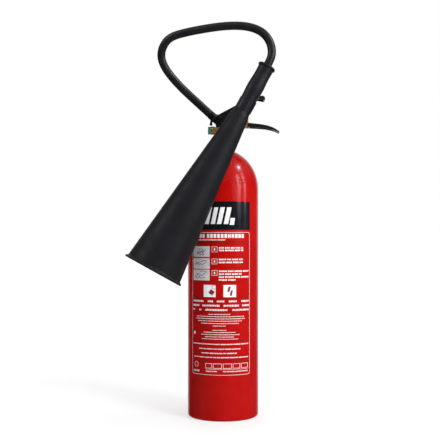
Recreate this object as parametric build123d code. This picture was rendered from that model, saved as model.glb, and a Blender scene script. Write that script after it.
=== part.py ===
"""Carbon dioxide fire extinguisher, 5 kg size, with its discharge horn stowed across the front.

Millimetres. +Z is up, +X runs from the valve towards the two handles, and -Y is the labelled front.
The origin is on the cylinder's axis, in the plane that its foot stands on.
"""
from build123d import *
import math
import os

# ---- cylinder ----
BODY_R = 70.0
BODY_WALL = 4.5
FOOT_OUTER_R = 64.0
FOOT_INNER_R = 50.0
BASE_HOLLOW = 16.0
DOME_Z = 446.0
DOME_RISE = 80.0
NECK_R = 20.0
NECK_TOP_Z = 540.0
NECK_BORE_R = 12.5

# ---- label films on the front ----
LABEL_GAP = 0.02
LABEL_THICK = 0.25
LABEL_ARC = (-58.0, 47.0)
PANEL_Z = (84.0, 364.0)
BAND_Z = (367.0, 421.0)

# ---- valve body ----
VALVE_HEX_AF = 36.0
VALVE_HEX_H = 10.0
BARREL_R = 14.0
BARREL_TOP_Z = 584.0
CHAMBER_R = 7.0
CHAMBER_Z = (546.0, 566.0)
SEAT_R = 3.5
OUTLET_CHAMBER_R = 5.0
OUTLET_CHAMBER_Z = (569.0, 580.0)
TUBE_SOCKET_R = 6.05
GLAND_R = 6.0
GLAND_H = 5.5

# ---- lug that carries the fixed handle ----
LUG_END_X = 50.0
LUG_Z = (568.6, 584.8)
LUG_HALF_W = 9.0
TONGUE_HALF_W = 6.0
TONGUE_Z = (571.0, 578.2)
TONGUE_X = (22.0, 51.0)
RIVET_X = (30.0, 42.0)
RIVET_Z = 574.6
RIVET_R = 2.0

# ---- lever, its pivot and its locking pin ----
PIVOT = (-8.0, 588.0)
PIVOT_R = 2.5
EAR_Y = (11.7, 14.6)
CHEEK_Y = (15.0, 17.0)
CHEEK_BOTTOM_Z = 570.0
CHEEK_BACK_X = -14.4
LEVER_TRAVEL = 16.0
LEVER_WEB = 2.0
PIN_AT = (20.0, 589.5)
PIN_R = 2.0
PIN_Y = (-21.0, 24.0)
RING_R = 13.0
RING_WIRE_R = 1.2

# ---- spindle, poppet and return spring ----
SPINDLE_R = 2.0
SPINDLE_TOP_Z = 595.3
POPPET_R = 5.5
SPRING_COIL_R = 4.4
SPRING_WIRE_R = 0.6
SPRING_TURNS = 7

# ---- burst disc plug ----
BURST_Z = 564.0
BURST_END_X = -30.0

# ---- hose outlet ----
OUTLET_AT = Vector(0, 0, 573)
OUTLET_RISE = 42.5
OUTLET_R = 7.0
OUTLET_NUT = (13.0, 20.0)
OUTLET_NUT_AF = 15.0
THREAD_R = 5.6
TIE_SPAN = (20.4, 24.4)
FERRULE_END = 32.5
FERRULE_R = 8.6

# ---- hose: the route's points, from the outlet ferrule to the socket in the horn's grip ----
HOSE_R = 8.0
HOSE_ROUTE = [
    (-24.3, 0, 595.3), (-54, 0, 622.4), (-84, -1.5, 650), (-108.5, -4.5, 677.5),
    (-121, -9, 699.5), (-122, -14, 717.5), (-114.5, -19.5, 734), (-100.5, -26, 745.3),
    (-71, -35, 751.5), (-36, -44.5, 756), (-1, -54, 759), (34, -63, 758),
    (60, -70, 751.5), (79, -75, 739.5), (90.5, -79, 720.5), (93, -82, 700),
    (86.8, -83.5, 682.7), (71.3, -85.7, 654.8),
]

# ---- horn ----
HORN_MOUTH = Vector(-131, -114, 290)
HORN_TOP = Vector(83.4, -84, 676.6)
MOUTH_R = 55.4
LIP_R = 59.0
LIP_THICK = 3.6
CONE_LENGTH = 334.0
CONE_TOP_R = 18.2
SHOULDER_LENGTH = 10.0
HORN_WALL = 2.6
GRIP_R = 15.3
SWELL_R = 16.3
SWELL_AT = 394.0
WAIST_R = 15.0
WAIST_AT = 421.0
GRIP_WALL = 4.6
FLANGE_R = 17.3
FLANGE_THICK = 5.0
JET_R = 5.0

# ---- bracket and clip that hold the horn's grip ----
CLIP_AT = 358.0
CLIP_LENGTH = 24.0
CLIP_GAP = 0.3
CLIP_WALL = 1.2
CLIP_JAW = 1.0
CLIP_PAD = 2.0
CLIP_OPENS = Vector(-0.218, -0.955, 0.196)
BRACKET_THICK = 3.0
BRACKET_WIDTH = 18.0
BRACKET_FOOT = 12.0
BRACKET_REACH = 40.0
BRACKET_RING_R = 22.0

HORN_LINE = HORN_TOP - HORN_MOUTH
HORN_LENGTH = HORN_LINE.length
HORN_DIR = HORN_LINE.normalized()
HORN = Plane(origin=HORN_MOUTH, z_dir=HORN_DIR, x_dir=CLIP_OPENS - HORN_DIR * CLIP_OPENS.dot(HORN_DIR))
GRIP_START = CONE_LENGTH + SHOULDER_LENGTH
outlet_angle = math.radians(OUTLET_RISE)
OUTLET_DIR = Vector(-math.cos(outlet_angle), 0, math.sin(outlet_angle))
OUTLET = Plane(origin=OUTLET_AT, z_dir=OUTLET_DIR, x_dir=(0, 1, 0))


def turned(points, rounded=()):
    """A solid of revolution about Z from (radius, height) points; rounded holds (index, radius) pairs."""
    outline = Polyline([(r, 0, z) for r, z in points], close=True)
    face = make_face(outline)
    for index, radius in rounded:
        r, z = points[index]
        corner = face.vertices().sort_by_distance((r, 0, z))[0]
        face = fillet(corner, radius)
    return revolve(face, Axis.Z)


def rod(radius, start, end):
    """A round bar between two points."""
    line = Vector(*end) - Vector(*start)
    base = Plane(origin=start, z_dir=line)
    return extrude(base * Circle(radius), line.length)


def block(low, high):
    """A box between two opposite corners."""
    size = [b - a for a, b in zip(low, high)]
    return Pos(*low) * Box(*size, align=(Align.MIN, Align.MIN, Align.MIN))


def hexagon(across_flats, start, height):
    """An upright hexagonal bar with its edges broken."""
    bar = extrude(RegularPolygon(across_flats / 2, 6, major_radius=False), height)
    corner_r = across_flats / 2 * 1.09
    rim = turned([(0, 0), (corner_r - 0.8, 0), (corner_r, 0.8), (corner_r, height - 0.8),
                  (corner_r - 0.8, height), (0, height)])
    return Pos(0, 0, start) * (bar & rim)


def outline_face(*lines):
    """The face inside a closed outline drawn in the XZ plane."""
    return make_face([edge for line in lines for edge in line.edges()])


def plate(face, y_low, y_high):
    """A flat plate between two distances from the middle plane, from a face in the XZ plane."""
    return Pos(0, y_high, 0) * extrude(face, y_high - y_low, dir=(0, -1, 0))


def corners(points):
    """The face with straight sides between these (x, z) corners."""
    return make_face(Polyline([(x, 0, z) for x, z in points], close=True))


# ------------------------------------------------------------------ cylinder and labels
def dome_curve(radius, rise, top_radius):
    """Half an ellipse's outline in the XZ plane, from the straight wall up to top_radius."""
    last = math.acos(top_radius / radius)
    angles = [last * step / 6 for step in range(7)]
    points = [(radius * math.cos(a), 0, DOME_Z + rise * math.sin(a)) for a in angles]
    end = (-radius * math.sin(last), 0, rise * math.cos(last))
    return Spline(points, tangents=[(0, 0, 1), Vector(*end).normalized()])


def crown_arc(edge_r, edge_z, top_z):
    """A shallow dome's outline in the XZ plane, from its middle to its edge, centred on the axis."""
    sphere_r = (edge_r ** 2 + (top_z - edge_z) ** 2) / (2 * (top_z - edge_z))
    middle_r = edge_r / 2
    middle_z = top_z - sphere_r + math.sqrt(sphere_r ** 2 - middle_r ** 2)
    return ThreePointArc((0, 0, top_z), (middle_r, 0, middle_z), (edge_r, 0, edge_z))


def cylinder():
    """Seamless steel bottle: hollow underneath, domed on top, with a threaded neck."""
    inner_r = BODY_R - BODY_WALL
    foot_r = BODY_R - FOOT_OUTER_R
    knuckle = foot_r * (1 - math.sqrt(0.5))
    dome = dome_curve(BODY_R, DOME_RISE, NECK_R)
    hollow = dome_curve(inner_r, DOME_RISE - BODY_WALL - 1.5, NECK_BORE_R)
    base = crown_arc(FOOT_INNER_R, 0, BASE_HOLLOW)
    floor = crown_arc(46, 8.5, BASE_HOLLOW + BODY_WALL)
    corner = TangentArc(floor @ 1, (inner_r, 0, 24), tangent=floor % 1)
    face = outline_face(
        base,
        Line((FOOT_INNER_R, 0, 0), (FOOT_OUTER_R, 0, 0)),
        ThreePointArc((FOOT_OUTER_R, 0, 0), (BODY_R - knuckle, 0, knuckle), (BODY_R, 0, foot_r)),
        Line((BODY_R, 0, foot_r), dome @ 0),
        dome,
        Polyline(dome @ 1, (NECK_R, 0, NECK_TOP_Z), (NECK_BORE_R, 0, NECK_TOP_Z), hollow @ 1),
        hollow,
        Line(hollow @ 0, corner @ 1),
        corner,
        floor,
        Line(floor @ 0, base @ 0),
    )
    face = fillet(face.vertices().sort_by_distance(dome @ 1)[0], 7)
    face = fillet(face.vertices().sort_by_distance((NECK_R, 0, NECK_TOP_Z))[0], 1.5)
    recess = rod(NECK_BORE_R + 2.3, (0, 0, NECK_TOP_Z - 1.5), (0, 0, NECK_TOP_Z + 1))
    return revolve(face, Axis.Z) - recess


def label_film(z_span):
    """A thin film on the cylinder's front, from z_span[0] to z_span[1]."""
    inner = BODY_R + LABEL_GAP
    section = make_face(Polyline([
        (0, -inner, z_span[0]), (0, -inner - LABEL_THICK, z_span[0]),
        (0, -inner - LABEL_THICK, z_span[1]), (0, -inner, z_span[1])], close=True))
    film = revolve(section, Axis.Z, LABEL_ARC[1] - LABEL_ARC[0])
    return Rot(0, 0, LABEL_ARC[0]) * film


# ------------------------------------------------------------------ valve
def valve_body():
    hex_top = NECK_TOP_Z + BRACKET_THICK + VALVE_HEX_H
    shank_r = NECK_BORE_R - 0.05
    body = turned([(0, 514), (shank_r - 1, 514), (shank_r, 515), (shank_r, NECK_TOP_Z + BRACKET_THICK),
                   (BARREL_R + 2, NECK_TOP_Z + BRACKET_THICK), (BARREL_R + 2, hex_top),
                   (BARREL_R, hex_top + 2), (BARREL_R, BARREL_TOP_Z), (0, BARREL_TOP_Z)], [(7, 1.5)])
    body += hexagon(VALVE_HEX_AF, NECK_TOP_Z + BRACKET_THICK, VALVE_HEX_H)
    body += OUTLET * rod(OUTLET_R, (0, 0, 4), (0, 0, OUTLET_NUT[0] - 0.4))
    body -= OUTLET * rod(9.2, (0, 0, OUTLET_NUT[0] - 0.4), (0, 0, 40))
    body += OUTLET * rod(THREAD_R, (0, 0, OUTLET_NUT[0] - 0.6), (0, 0, OUTLET_NUT[1] - 0.6))
    body += rod(7.5, (-10, 0, BURST_Z), (-BARREL_R - 2, 0, BURST_Z))
    lug = block((8, -LUG_HALF_W, LUG_Z[0]), (LUG_END_X, LUG_HALF_W, LUG_Z[1]))
    body += fillet(lug.edges().filter_by(Axis.X), 2.5)
    for side in (-1, 1):
        low, high = sorted((side * EAR_Y[0], side * EAR_Y[1]))
        ear = corners([(-14, 570), (-1.5, 570), (-1.5, 592), (-14, 592)])
        body += plate(fillet(ear.vertices().group_by(Axis.Z)[-1], 5.8), low, high)
        root = sorted((0, side * EAR_Y[1]))
        body += block((-12.5, root[0], 568), (-3, root[1], 578)) - rod(5.5, (0, 0, 560), (0, 0, 580))
        lock = corners([(14, 580), (26, 580), (26, 594), (14, 594)])
        body += plate(fillet(lock.vertices().group_by(Axis.Z)[-1], 4.5), low, high)
        body += block((14, root[0], 578), (26, root[1], 583.5))
    body -= rod(TUBE_SOCKET_R, (0, 0, 513), (0, 0, 531))
    body -= rod(4.0, (0, 0, 530), (0, 0, CHAMBER_Z[0] + 1))
    body -= rod(CHAMBER_R, (0, 0, CHAMBER_Z[0]), (0, 0, CHAMBER_Z[1]))
    body -= rod(SEAT_R, (0, 0, CHAMBER_Z[1] - 1), (0, 0, OUTLET_CHAMBER_Z[0] + 1))
    body -= rod(OUTLET_CHAMBER_R, (0, 0, OUTLET_CHAMBER_Z[0]), (0, 0, OUTLET_CHAMBER_Z[1] + 1))
    body -= rod(GLAND_R + 0.05, (0, 0, BARREL_TOP_Z - GLAND_H + 1), (0, 0, BARREL_TOP_Z + 1))
    body -= OUTLET * rod(2.5, (0, 0, 3), (0, 0, 20))
    body -= rod(4.05, (-BARREL_R - 3, 0, BURST_Z), (-10.5, 0, BURST_Z))
    body -= rod(1.4, (-11, 0, BURST_Z), (0, 0, BURST_Z))
    body -= rod(PIVOT_R + 0.03, (PIVOT[0], -30, PIVOT[1]), (PIVOT[0], 30, PIVOT[1]))
    body -= rod(PIN_R + 0.1, (PIN_AT[0], -30, PIN_AT[1]), (PIN_AT[0], 30, PIN_AT[1]))
    body -= block((TONGUE_X[0] - 0.5, -TONGUE_HALF_W - 0.03, TONGUE_Z[0] - 0.03),
                  (LUG_END_X + 1, TONGUE_HALF_W + 0.03, TONGUE_Z[1] + 0.03))
    for x in RIVET_X:
        body -= rod(RIVET_R + 0.02, (x, -20, RIVET_Z), (x, 20, RIVET_Z))
    return body


def dip_tube():
    outer = rod(6.0, (0, 0, 27), (0, 0, 530))
    bevel = Pos(0, 0, 27) * Rot(0, 35, 0) * Box(40, 40, 9)
    return outer - rod(4.6, (0, 0, 20), (0, 0, 531)) - bevel


def gland_nut():
    bottom = BARREL_TOP_Z - GLAND_H + 1.2
    nut = turned([(SPINDLE_R + 0.06, bottom), (GLAND_R - 1.2, bottom), (GLAND_R, bottom + 1.5),
                  (GLAND_R, BARREL_TOP_Z + 0.8), (SPINDLE_R + 0.06, BARREL_TOP_Z + 0.8)])
    slot = block((-0.8, -GLAND_R - 1, BARREL_TOP_Z - 0.6), (0.8, GLAND_R + 1, BARREL_TOP_Z + 2))
    return nut - slot


def gland_ring():
    """The rubber ring that seals the spindle, under the gland nut."""
    top = BARREL_TOP_Z - GLAND_H + 1.1
    return turned([(SPINDLE_R + 0.05, top - 2), (OUTLET_CHAMBER_R - 0.1, top - 2),
                   (OUTLET_CHAMBER_R - 0.1, top), (SPINDLE_R + 0.05, top)])


def neck_seal():
    """The sealing ring under the valve's hexagon, inside the neck's mouth."""
    ring = turned([(NECK_BORE_R + 0.1, NECK_TOP_Z - 1.4), (NECK_BORE_R + 2.2, NECK_TOP_Z - 1.4),
                   (NECK_BORE_R + 2.2, NECK_TOP_Z), (NECK_BORE_R + 0.1, NECK_TOP_Z)])
    return ring


def spindle():
    poppet_top = CHAMBER_Z[1] - 2.5
    stem = turned([(0, poppet_top - 4), (POPPET_R, poppet_top - 4), (POPPET_R, poppet_top),
                   (SPINDLE_R, poppet_top), (SPINDLE_R, SPINDLE_TOP_Z - 0.01), (0, SPINDLE_TOP_Z)],
                  [(1, 0.6)])
    return stem


def poppet_seal():
    poppet_top = CHAMBER_Z[1] - 2.5
    return turned([(SPINDLE_R + 0.02, poppet_top + 0.02), (POPPET_R - 0.3, poppet_top + 0.02),
                   (POPPET_R - 0.3, CHAMBER_Z[1] - 0.05), (SPINDLE_R + 0.02, CHAMBER_Z[1] - 0.05)])


def valve_spring():
    low = CHAMBER_Z[0] + SPRING_WIRE_R + 0.05
    high = CHAMBER_Z[1] - 6.5 - SPRING_WIRE_R - 0.05
    path = Helix(pitch=(high - low) / SPRING_TURNS, height=high - low, radius=SPRING_COIL_R)
    section = Plane(origin=path @ 0, z_dir=path % 0) * Circle(SPRING_WIRE_R)
    return Pos(0, 0, low) * sweep(section, path=path, is_frenet=True)


def burst_disc():
    return rod(3.9, (-11.1, 0, BURST_Z), (-10.6, 0, BURST_Z))


def burst_nut():
    head = Plane(origin=(-16.2, 0, BURST_Z), z_dir=(-1, 0, 0)) * hexagon(15.0, 0, 9.0)
    shank = rod(3.95, (-16.3, 0, BURST_Z), (-11.2, 0, BURST_Z))
    nut = head + shank - rod(1.6, (BURST_END_X, 0, BURST_Z), (-10, 0, BURST_Z))
    return nut


def burst_cap():
    cap = turned([(0, 0), (7.7, 0), (7.7, 4.6), (0, 4.6)], [(2, 1.4)])
    place = Plane(origin=(-25.3, 0, BURST_Z), z_dir=(-1, 0, 0))
    holes = [rod(0.9, (4.6 * math.cos(a), 4.6 * math.sin(a), 2), (4.6 * math.cos(a), 4.6 * math.sin(a), 6))
             for a in (0.5, 2.6, 4.7)]
    return place * (cap - holes)


# ------------------------------------------------------------------ handles
def carry_handle():
    """Pressed channel, open below, that slopes down a little and ends in a hooked tip."""
    crown = Spline([(50.2, 0, 578.6), (94, 0, 571.2), (112, 0, 560.4)],
                   tangents=[(1, 0, -0.15), (0.72, 0, -0.69)])
    under = Spline([(110.4, 0, 559.0), (93, 0, 565.8), (50.2, 0, 570.0)],
                   tangents=[(-0.75, 0, 0.5), (-1, 0, 0.09)])
    side = outline_face(crown, Line(crown @ 1, under @ 0), under, Line(under @ 1, crown @ 0))
    solid = plate(side, -13, 13)
    solid = fillet(solid.edges().filter_by(lambda e: e.center().Z > 570 and e.length > 50), 2.0)
    hollow = corners([(53, 560), (53, 575.9), (92, 569.2), (104, 562.2), (103, 550)])
    solid -= plate(hollow, -10.6, 10.6)
    solid += block((TONGUE_X[0], -TONGUE_HALF_W, TONGUE_Z[0]), (TONGUE_X[1], TONGUE_HALF_W, TONGUE_Z[1]))
    for x in RIVET_X:
        solid -= rod(RIVET_R + 0.02, (x, -20, RIVET_Z), (x, 20, RIVET_Z))
    return solid


def handle_rivets():
    rivets = []
    for x in RIVET_X:
        pin = rod(RIVET_R, (x, -LUG_HALF_W - 0.1, RIVET_Z), (x, LUG_HALF_W + 0.1, RIVET_Z))
        for side in (-1, 1):
            head = turned([(0, 0), (3.6, 0), (2.2, 1.5), (0, 1.5)])
            pin += Plane(origin=(x, side * (LUG_HALF_W + 0.02), RIVET_Z), z_dir=(0, side, 0)) * head
        rivets.append(pin)
    return Compound(children=rivets)


def squeeze_lever():
    """Pressed channel, open below: two cheeks on the pivot, and a web that starts past the spindle."""
    px, pz = PIVOT
    rear_r = 6.0
    slope = math.radians(28)
    start = (px - rear_r * math.sin(slope), 0, pz + rear_r * math.cos(slope))
    bend = (24.3, 0, start[2] + (24.3 - start[0]) * math.tan(slope))
    crown = TangentArc(bend, (75.3, 0, 631.4), tangent=(math.cos(slope), 0, math.sin(slope)))
    lip = TangentArc(crown @ 1, (83.0, 0, 624.6), tangent=crown % 1)
    rear = Plane.XZ * CenterArc((px, pz), rear_r, 195, -77)
    lower = [(83.0, 0, 624.6), (81.8, 0, 622.6), (70, 0, 625.2), (46, 0, 613.0), (29, 0, 601.5),
             (27.5, 0, 584.5), (14.5, 0, 584.5), (9, 0, CHEEK_BOTTOM_Z), (CHEEK_BACK_X, 0, CHEEK_BOTTOM_Z),
             rear @ 0]
    side = outline_face(Line(start, bend), crown, lip, Polyline(lower), rear)
    far = Vector(*bend) - Vector(math.cos(slope), 0, math.sin(slope)) * 60
    nose = lip @ 1 + (lip % 1) * 60
    above = outline_face(Line(far, bend), crown, lip, Polyline(lip @ 1, nose, (far.X, 0, nose.Z), far))
    rounded = plate(above, -CHEEK_Y[1], CHEEK_Y[1])
    rounded = fillet(rounded.edges().filter_by(lambda e: e.center().Z > 590 and e.length > 38
                                               and abs(e.center().Y) > 16 and e.center().X > 0), 3.0)
    solid = plate(side, -CHEEK_Y[1], CHEEK_Y[1]) & rounded
    web = LEVER_WEB / math.cos(slope)
    inner_bend = (24.3, bend[2] - web)
    channel = corners([(-30, start[2] - web - (30 + start[0]) * math.tan(slope)), inner_bend,
                       (50, 621.6), (76, 629.0), (79.6, 626.4), (79.6, 560), (-30, 560)])
    solid -= plate(channel, -CHEEK_Y[0], CHEEK_Y[0])
    solid -= block((-30, -CHEEK_Y[0], 570), (-3.2, CHEEK_Y[0], 620))
    solid -= rod(PIVOT_R + 0.05, (px, -30, pz), (px, 30, pz))
    return solid - pin_slot()


def pin_slot():
    """The curved slot that lets the lever swing past its locking pin."""
    arm = Vector(PIN_AT[0] - PIVOT[0], 0, PIN_AT[1] - PIVOT[1])
    rest = math.degrees(math.atan2(arm.Z, arm.X))
    radius = PIN_R + 0.25
    centre = Plane.XZ * CenterArc(PIVOT, arm.length, rest, LEVER_TRAVEL + 0.5)
    inner = Plane.XZ * CenterArc(PIVOT, arm.length - radius, rest, LEVER_TRAVEL + 0.5)
    outer = Plane.XZ * CenterArc(PIVOT, arm.length + radius, rest, LEVER_TRAVEL + 0.5)
    band = outline_face(inner, outer, Line(inner @ 0, outer @ 0), Line(inner @ 1, outer @ 1))
    ends = [rod(radius, (end.X, -30, end.Z), (end.X, 30, end.Z)) for end in (centre @ 0, centre @ 1)]
    return plate(band, -30, 30) + ends


def lever_pivots():
    """Two shoulder rivets that the lever turns on, each through one cheek and one ear."""
    px, pz = PIVOT
    reach = CHEEK_Y[1] + 0.15
    rivets = []
    for side in (-1, 1):
        shank = rod(PIVOT_R, (px, side * EAR_Y[0], pz), (px, side * reach, pz))
        head = turned([(0, 0), (4.2, 0), (2.8, 1.7), (0, 1.7)])
        rivets.append(shank + Plane(origin=(px, side * reach, pz), z_dir=(0, side, 0)) * head)
    return Compound(children=rivets)


def safety_pin():
    x, z = PIN_AT
    pin = rod(PIN_R, (x, PIN_Y[0], z), (x, PIN_Y[1], z))
    pin += rod(3.3, (x, CHEEK_Y[1] + 0.5, z), (x, CHEEK_Y[1] + 1.7, z))
    eye = rod(3.4, (x - 1.9, PIN_Y[1] - 1, z), (x + 1.9, PIN_Y[1] - 1, z))
    pin += eye
    pin = chamfer(pin.edges().filter_by(GeomType.CIRCLE).sort_by(Axis.Y)[0], 0.8)
    return pin - rod(RING_WIRE_R + 0.45, (x - 5, PIN_Y[1] - 1, z), (x + 5, PIN_Y[1] - 1, z))


def pull_ring():
    x, z = PIN_AT
    ring = Torus(RING_R, RING_WIRE_R)
    return Pos(x, PIN_Y[1] - 1, z - RING_R) * Rot(90, 0, 0) * ring


# ------------------------------------------------------------------ hose and its fittings
def outlet_nut():
    height = OUTLET_NUT[1] - OUTLET_NUT[0]
    nut = hexagon(OUTLET_NUT_AF, OUTLET_NUT[0], height)
    return OUTLET * (nut - rod(THREAD_R + 0.05, (0, 0, OUTLET_NUT[0] - 1), (0, 0, OUTLET_NUT[1] + 1)))


def outlet_ferrule():
    start = OUTLET_NUT[1] + 0.1
    grooves = [(27.0, 28.2), (30.0, 31.2)]
    points = [(0, start), (FERRULE_R, start)]
    for low, high in grooves:
        points += [(FERRULE_R, low), (FERRULE_R - 0.5, low), (FERRULE_R - 0.5, high), (FERRULE_R, high)]
    points += [(FERRULE_R, FERRULE_END), (0, FERRULE_END)]
    bore = rod(3.0, (0, 0, start - 1), (0, 0, FERRULE_END + 1))
    return OUTLET * (turned(points, [(1, 0.5)]) - bore)


def seal_tie():
    """The plastic tie round the hose ferrule, with its drop-shaped head hanging underneath."""
    low, high = TIE_SPAN
    band = turned([(FERRULE_R + 0.05, low), (FERRULE_R + 1.25, low), (FERRULE_R + 1.25, high),
                   (FERRULE_R + 0.05, high)])
    band = OUTLET * band
    middle = OUTLET_AT + OUTLET_DIR * ((low + high) / 2)
    head = Pos(0, 0, -4.4) * Sphere(3.1) + Pos(0, 0, -0.2) * Cone(2.7, 1.3, 7)
    under = middle + OUTLET.y_dir * (FERRULE_R + 0.6)
    head = Pos(under.X - 1.0, 0, under.Z - 0.3) * head
    return band + (head - OUTLET * rod(FERRULE_R + 0.05, (0, 0, low - 12), (0, 0, FERRULE_END + 8)))


def hose_path():
    """Straight runs joined by tangent arcs, each as large as its two runs allow."""
    points = [Vector(*p) for p in HOSE_ROUTE]
    radii = []
    for before, here, after in zip(points, points[1:], points[2:]):
        half_turn = math.radians((here - before).get_angle(after - here)) / 2
        shorter = min((here - before).length, (after - here).length)
        radii.append(0.45 * shorter / math.tan(half_turn))
    return FilletPolyline(points, radius=radii), radii


def hose():
    path, radii = hose_path()
    section = Plane(origin=path @ 0, z_dir=path % 0) * Circle(HOSE_R)
    tube = sweep(section, path=path)
    print("hose length", round(path.length, 1), "radii", [round(r) for r in radii])
    print("hose volume / (section x length)", round(tube.volume / (math.pi * HOSE_R ** 2 * path.length), 4))
    return tube


# ------------------------------------------------------------------ horn
def horn_cone():
    """Moulded trumpet with a thickened lip, closed at its small end but for the jet's seat."""
    inner_r = MOUTH_R - HORN_WALL
    top_r = CONE_TOP_R - HORN_WALL
    slope = (MOUTH_R - CONE_TOP_R) / CONE_LENGTH
    under_lip = LIP_THICK + 2.2
    points = [
        (inner_r, 0), (LIP_R - 1.2, 0), (LIP_R, 1.2), (LIP_R, LIP_THICK - 0.6),
        (MOUTH_R - slope * under_lip, under_lip), (CONE_TOP_R, CONE_LENGTH),
        (GRIP_R + 0.3, GRIP_START), (JET_R + 0.05, GRIP_START), (JET_R + 0.05, CONE_LENGTH - 2),
        (top_r - 4, CONE_LENGTH - 2), (top_r, CONE_LENGTH - 8),
    ]
    return HORN * turned(points, [(3, 0.9), (4, 3.0), (5, 5.0), (6, 2.0)])


def horn_grip():
    """Insulating sleeve that the hand holds, with a soft swell and waist, and a flange at the hose."""
    inner_r = GRIP_R - GRIP_WALL
    throat_r = HOSE_R + 0.15
    top = HORN_LENGTH
    flange_low = top - FLANGE_THICK
    straight_end = CLIP_AT + CLIP_LENGTH / 2 + 1
    outside = Spline([(GRIP_R, 0, straight_end), (SWELL_R, 0, SWELL_AT), (WAIST_R, 0, WAIST_AT),
                      (GRIP_R, 0, flange_low)], tangents=[(0, 0, 1), (0, 0, 1)])
    rim = Polyline([(GRIP_R, 0, flange_low), (FLANGE_R, 0, flange_low), (FLANGE_R, 0, top),
                    (throat_r, 0, top), (throat_r, 0, top - 24.6), (inner_r, 0, top - 24.6),
                    (inner_r, 0, GRIP_START + 0.05),
                    (GRIP_R, 0, GRIP_START + 0.05), (GRIP_R, 0, straight_end)])
    face = outline_face(outside, rim)
    for point, radius in ((rim @ 0, 0.4), ((FLANGE_R, 0, flange_low), 1.4),
                          ((FLANGE_R, 0, top), 1.8), ((throat_r, 0, top), 0.6)):
        face = fillet(face.vertices().sort_by_distance(point)[0], radius)
    return HORN * revolve(face, Axis.Z)


def horn_ferrule():
    """The fitting on the hose's end, inside the grip."""
    top = HORN_LENGTH - 25.2
    body = turned([(3.0, top - 26), (7.0, top - 26), (7.0, top - 18), (GRIP_R - GRIP_WALL - 0.1, top - 17),
                   (GRIP_R - GRIP_WALL - 0.1, top), (3.0, top)])
    return HORN * body


def horn_jet():
    """Brass tube from the hose fitting to the horn's throat."""
    top = HORN_LENGTH - 25.2 - 26.1
    throat = CONE_LENGTH - 14
    return HORN * turned([(2.4, throat), (JET_R - 1, throat), (JET_R, throat + 1), (JET_R, GRIP_START + 4),
                          (GRIP_R - GRIP_WALL - 0.1, GRIP_START + 4),
                          (GRIP_R - GRIP_WALL - 0.1, GRIP_START + 12), (JET_R, GRIP_START + 12),
                          (JET_R, top), (2.4, top)])


# ------------------------------------------------------------------ horn bracket and clip
def clip_frame():
    """At the middle of the clip, with Z along the horn and X the way that the grip leaves."""
    return Plane(origin=HORN_MOUTH + HORN_DIR * CLIP_AT, z_dir=HORN_DIR, x_dir=HORN.x_dir)


def horn_clip():
    """Saddle round the back half of the grip, with short straight jaws."""
    inner = GRIP_R + CLIP_GAP
    outer = inner + CLIP_WALL
    ring = Circle(outer) + Pos(CLIP_JAW / 2, 0) * Rectangle(CLIP_JAW, 2 * outer)
    ring -= Pos(CLIP_JAW + 50, 0) * Rectangle(100, 100)
    ring -= Circle(inner) + Pos(25, 0) * Rectangle(50, 2 * inner)
    ring = fillet(ring.vertices().group_by(Axis.X)[-1], 0.5)
    saddle = extrude(Pos(0, 0, -CLIP_LENGTH / 2) * ring, CLIP_LENGTH)
    pad = block((-outer - CLIP_PAD, -8, -8), (-outer + 1.5, 8, 8))
    pad -= rod(outer - 0.2, (0, 0, -20), (0, 0, 20))
    pad -= rod(2.1, (-outer - 5, 0, 0), (-outer + 5, 0, 0))
    saddle -= rod(2.1, (-outer - 5, 0, 0), (-inner + 2, 0, 0))
    return clip_frame() * (saddle + pad)


def clip_screw():
    outer = GRIP_R + CLIP_GAP + CLIP_WALL
    back = -outer - CLIP_PAD - BRACKET_THICK - 0.1
    shank = rod(1.95, (back, 0, 0), (-GRIP_R - CLIP_GAP - 0.4, 0, 0))
    head = Plane(origin=(back, 0, 0), z_dir=(-1, 0, 0)) * turned([(0, 0), (3.8, 0), (3.2, 2.3), (0, 2.3)])
    drive = block((back - 3, -3, -0.5), (back - 1.2, 3, 0.5))
    return clip_frame() * (shank + head - drive)


def horn_bracket():
    """Steel strip, clamped between the neck and the valve, that twists up to the back of the clip."""
    frame = clip_frame()
    face_x = -GRIP_R - CLIP_GAP - CLIP_WALL - CLIP_PAD - 0.05
    half = BRACKET_WIDTH / 2
    upright = block((face_x - BRACKET_THICK, -half, -BRACKET_FOOT), (face_x, half, 11))
    upright = fillet(upright.edges().filter_by(Axis.X).group_by(Axis.Z)[-1], 4)
    upright -= rod(2.1, (face_x - 9, 0, 0), (face_x + 9, 0, 0))
    foot = frame.from_local_coords(Vector(face_x - BRACKET_THICK / 2, 0, -BRACKET_FOOT))
    z = NECK_TOP_Z + BRACKET_THICK / 2
    heading = Vector(foot.X, foot.Y, 0).normalized()
    tongue_end = Vector(0, 0, z) + heading * BRACKET_REACH
    strip = Rectangle(BRACKET_WIDTH, BRACKET_THICK)
    low = Plane(origin=tongue_end, z_dir=heading, x_dir=Vector(0, 0, 1).cross(heading))
    high = Plane(origin=foot, z_dir=frame.z_dir, x_dir=-frame.y_dir)
    twist = loft([low * strip, high * strip])
    tongue = extrude(low * strip, -BRACKET_REACH + 12)
    ring = rod(BRACKET_RING_R, (0, 0, z - BRACKET_THICK / 2), (0, 0, z + BRACKET_THICK / 2))
    bracket = ring + tongue + twist + frame * upright
    bore = rod(NECK_BORE_R + 0.1, (0, 0, NECK_TOP_Z - 5), (0, 0, NECK_TOP_Z + 8))
    return bracket - bore


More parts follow.
